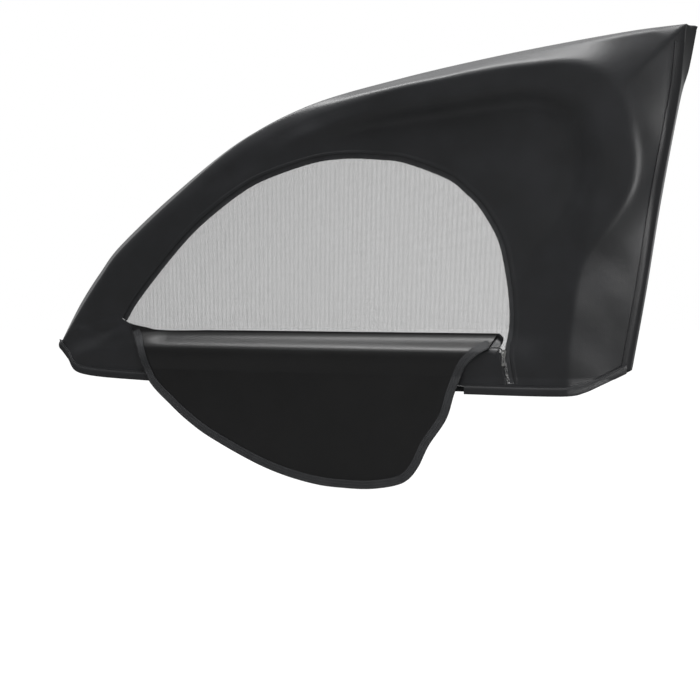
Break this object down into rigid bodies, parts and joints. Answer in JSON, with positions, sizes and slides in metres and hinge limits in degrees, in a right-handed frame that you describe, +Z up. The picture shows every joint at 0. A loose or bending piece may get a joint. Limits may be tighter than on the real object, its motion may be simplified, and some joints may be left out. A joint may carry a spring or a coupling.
{
  "type": "car side window sunshade",
  "caption": "Slip-on cloth sleeve for a front door window, with a see-through net outside and a zipped half-round flap inside, folded down.",
  "frame": {"origin": "in the sleeve's pocket at the door's belt line, where the door frame passes between the two layers", "axes": "+X along the door to the rear, -Y towards the cabin, +Z up; above the belt line the sleeve leans towards -Y by 11 degrees"},
  "size_m": [1.133, 0.1447, 0.7063],
  "materials": {
    "satin_cloth": "black satin polyester",
    "net": "black knitted net",
    "tape": "black woven zipper tape",
    "coil": "black nylon coil",
    "slider_metal": "plated zinc",
    "band": "black woven band"
  },
  "bodies": {
    "sleeve": {"inner_panel": "satin_cloth", "edge_strip": "satin_cloth", "flap_panel": "satin_cloth", "net_panel": "net", "window_zipper_tape": "tape", "window_zipper_coil": "coil", "flap_zipper_tape": "tape", "flap_zipper_coil": "coil", "zipper_slider": "slider_metal", "rear_hem_band": "band", "front_hem_band": "band", "rear_edge_binding": "band"},
    "pull": {"zipper_pull": "slider_metal"}
  },
  "joints": [
    {"name": "pull_swing", "type": "hinge", "parent": "sleeve", "child": "pull", "pos_m": [0.27686, -0.03029, 0.03675], "axis": [-1, 0, 0], "range_deg": [0, 150]}
  ]
}
